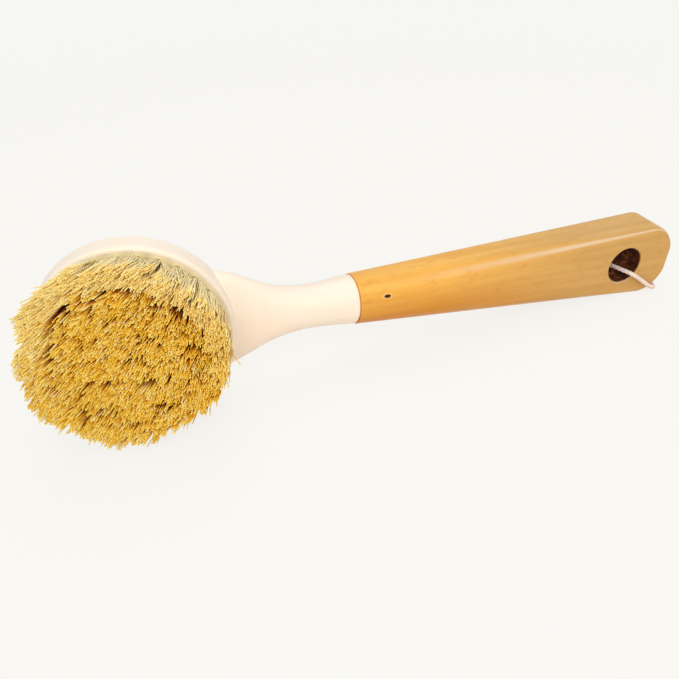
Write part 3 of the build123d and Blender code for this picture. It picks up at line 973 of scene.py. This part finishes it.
# %% Anchor wire
WIRE_DARK, WIRE_LIGHT = (0.42, 0.42, 0.43, 1), (0.6, 0.6, 0.61, 1)
anchor_wire, tree, shader = material("drawn_anchor_wire")
tone = grouped(tree, cloudy_tone, (-700, 0), Scale=900.0)
colour = mixed(tree, (-400, 100), tone.outputs["Value"], WIRE_DARK, WIRE_LIGHT)
tree.links.new(colour, shader.inputs["Base Color"])
shader.inputs["Metallic"].default_value = 1.0
shader.inputs["Roughness"].default_value = 0.35
dress(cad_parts["tuft_anchors"], anchor_wire)
print("anchors are dressed")

# %% [markdown]
# The cord is spun cotton, so its surface is soft and slightly uneven, with a warm white colour.
# The strands are real shape already. Only the fuzz of the yarn is too small for that, and a bump
# is enough.

# %% Cotton cord
COTTON_DARK, COTTON_LIGHT = (0.80, 0.64, 0.54, 1), (0.93, 0.82, 0.74, 1)
cotton, tree, shader = material("warm_white_cotton")
tone = grouped(tree, cloudy_tone, (-700, 100), Scale=700.0)
colour = mixed(tree, (-400, 100), tone.outputs["Value"], COTTON_DARK, COTTON_LIGHT)
tree.links.new(colour, shader.inputs["Base Color"])
shader.inputs["Roughness"].default_value = 0.85
relief = grouped(tree, fine_relief, (-700, -300), Scale=2600.0, Strength=1.0)
bump = node(tree, "ShaderNodeBump", (-400, -300), Strength=0.4, Distance=0.0001)
tree.links.new(relief.outputs["Height"], bump.inputs["Height"])
tree.links.new(bump.outputs["Normal"], shader.inputs["Normal"])
for piece in [cord, *knot_pieces]:
    dress(piece, cotton)
print("cotton on", 1 + len(knot_pieces), "pieces")

# %% [markdown]
# The floor is pale and has no edge in view. A white floor that is only lit would need more light
# than the brush can take. So what the camera sees of it is mostly a glow of its own, which keeps
# the background even, and a small lit share keeps the brush's soft shadow. Far from the brush,
# where no shadow falls, nearly all of it is glow. The light that it gives back to the brush is
# that of warm paper.

# %% Floor
FLOOR_COLOUR = (0.939, 0.930, 0.896, 1)  # as the camera sees it
FLOOR_LIT = (0.86, 0.79, 0.71, 1)  # the warm paper itself, which light comes back from
FLOOR_GLOW = (0.953, 0.955, 0.929, 1)  # what makes FLOOR_COLOUR together with the lit share
GLOW_NEAR, GLOW_FAR = 0.85, 0.97  # the glow's share close to the brush and far from it
NEAR, FAR = 0.35, 1.1
FLOOR_RADIUS = 8


def floor_piece():
    """A round floor round the scene's origin."""
    mesh = bpy.data.meshes.new("floor")
    shape = bmesh.new()
    bmesh.ops.create_circle(shape, cap_ends=True, radius=FLOOR_RADIUS, segments=64)
    shape.to_mesh(mesh)
    shape.free()
    piece = bpy.data.objects.new("floor", mesh)
    scene.collection.objects.link(piece)
    return piece


def seen_rays(tree, place):
    """1 for rays that show the ground: the camera's, and those that shiny or clear things send."""
    rays = node(tree, "ShaderNodeLightPath", place).outputs
    glossy, through = rays["Is Glossy Ray"], rays["Is Transmission Ray"]
    sent_on = calculated(tree, "MAXIMUM", place, glossy, through)
    next_place = (place[0] + 200, place[1])
    return calculated(tree, "MAXIMUM", next_place, rays["Is Camera Ray"], sent_on)


floor = floor_piece()
paper, tree, shader = material("pale_floor")
shader.inputs["Roughness"].default_value = 0.9
shader.inputs["Specular IOR Level"].default_value = 0.1
shader.inputs["Base Color"].default_value = FLOOR_LIT
glow = node(tree, "ShaderNodeEmission", (0, -300), Color=FLOOR_GLOW, Strength=1.0)
coordinates = node(tree, "ShaderNodeTexCoord", (-1000, 0))
from_brush = node(tree, "ShaderNodeVectorMath", (-800, 0))
from_brush.operation = "LENGTH"
tree.links.new(coordinates.outputs["Object"], from_brush.inputs[0])
glow_share = ranged(tree, (-600, 0), from_brush.outputs["Value"], NEAR, FAR, GLOW_NEAR, GLOW_FAR)
seen = calculated(tree, "MULTIPLY", (-200, 200), seen_rays(tree, (-600, 200)), glow_share)
both = node(tree, "ShaderNodeMixShader", (200, 0))
out = tree.nodes["Material Output"]
out.location = (400, 0)
tree.links.new(seen, both.inputs["Fac"])
tree.links.new(shader.outputs[0], both.inputs[1])
tree.links.new(glow.outputs[0], both.inputs[2])
tree.links.new(both.outputs[0], out.inputs["Surface"])
dress(floor, paper)
print("floor of", FLOOR_RADIUS, "m radius")

# %% [markdown]
# Soft studio light, from three square lamps and an even pale surround. The key stands in front and
# above and lights the bristles' tips. A weak lamp at the right rounds the handle, and one above
# the brush, a little behind it, lights the rim and the fibres' upper sides. One strong lamp would
# be simpler, but its shadows would fill the bristles with black. The levels are set so that a
# colour looks about as it was written. To the camera the surround shows the floor's colour, so the
# floor has no edge.

# %% Light
LAMPS_LOOK_AT = Vector((0, 0, 0.03))
SURROUND, SURROUND_LEVEL = (1.0, 0.99, 0.97, 1), 0.5


def lamp(name, place, size, power, colour=(1, 1, 1)):
    """A square lamp at this place that looks at the brush."""
    data = bpy.data.lights.new(name, "AREA")
    data.shape = "SQUARE"
    data.size = size
    data.energy = power
    data.color = colour
    made = bpy.data.objects.new(name, data)
    scene.collection.objects.link(made)
    made.location = place
    made.rotation_mode = "QUATERNION"
    made.rotation_quaternion = (LAMPS_LOOK_AT - made.location).to_track_quat("-Z", "Y")


lamp("key", (-0.12, -0.92, 0.76), 0.7, 6.95, (1.0, 0.98, 0.95))
lamp("edge", (0.60, -0.45, 0.80), 0.5, 1.2, (1.0, 0.98, 0.96))
lamp("back", (0.0, 0.30, 1.0), 0.6, 2.6)
world = bpy.data.worlds.new("surround")
scene.world = world
world.use_nodes = True
tree = world.node_tree
ground = tree.nodes["Background"]
ground.inputs["Color"].default_value = SURROUND
ground.inputs["Strength"].default_value = SURROUND_LEVEL
shown = node(tree, "ShaderNodeBackground", (0, -200), Color=FLOOR_COLOUR, Strength=1.0)
both = node(tree, "ShaderNodeMixShader", (300, 0))
tree.links.new(seen_rays(tree, (-400, 200)), both.inputs["Fac"])
tree.links.new(ground.outputs[0], both.inputs[1])
tree.links.new(shown.outputs[0], both.inputs[2])
tree.links.new(both.outputs[0], tree.nodes["World Output"].inputs["Surface"])

# %% [markdown]
# The last cell brings the scene up to date.

# %% The end
bpy.context.view_layer.update()
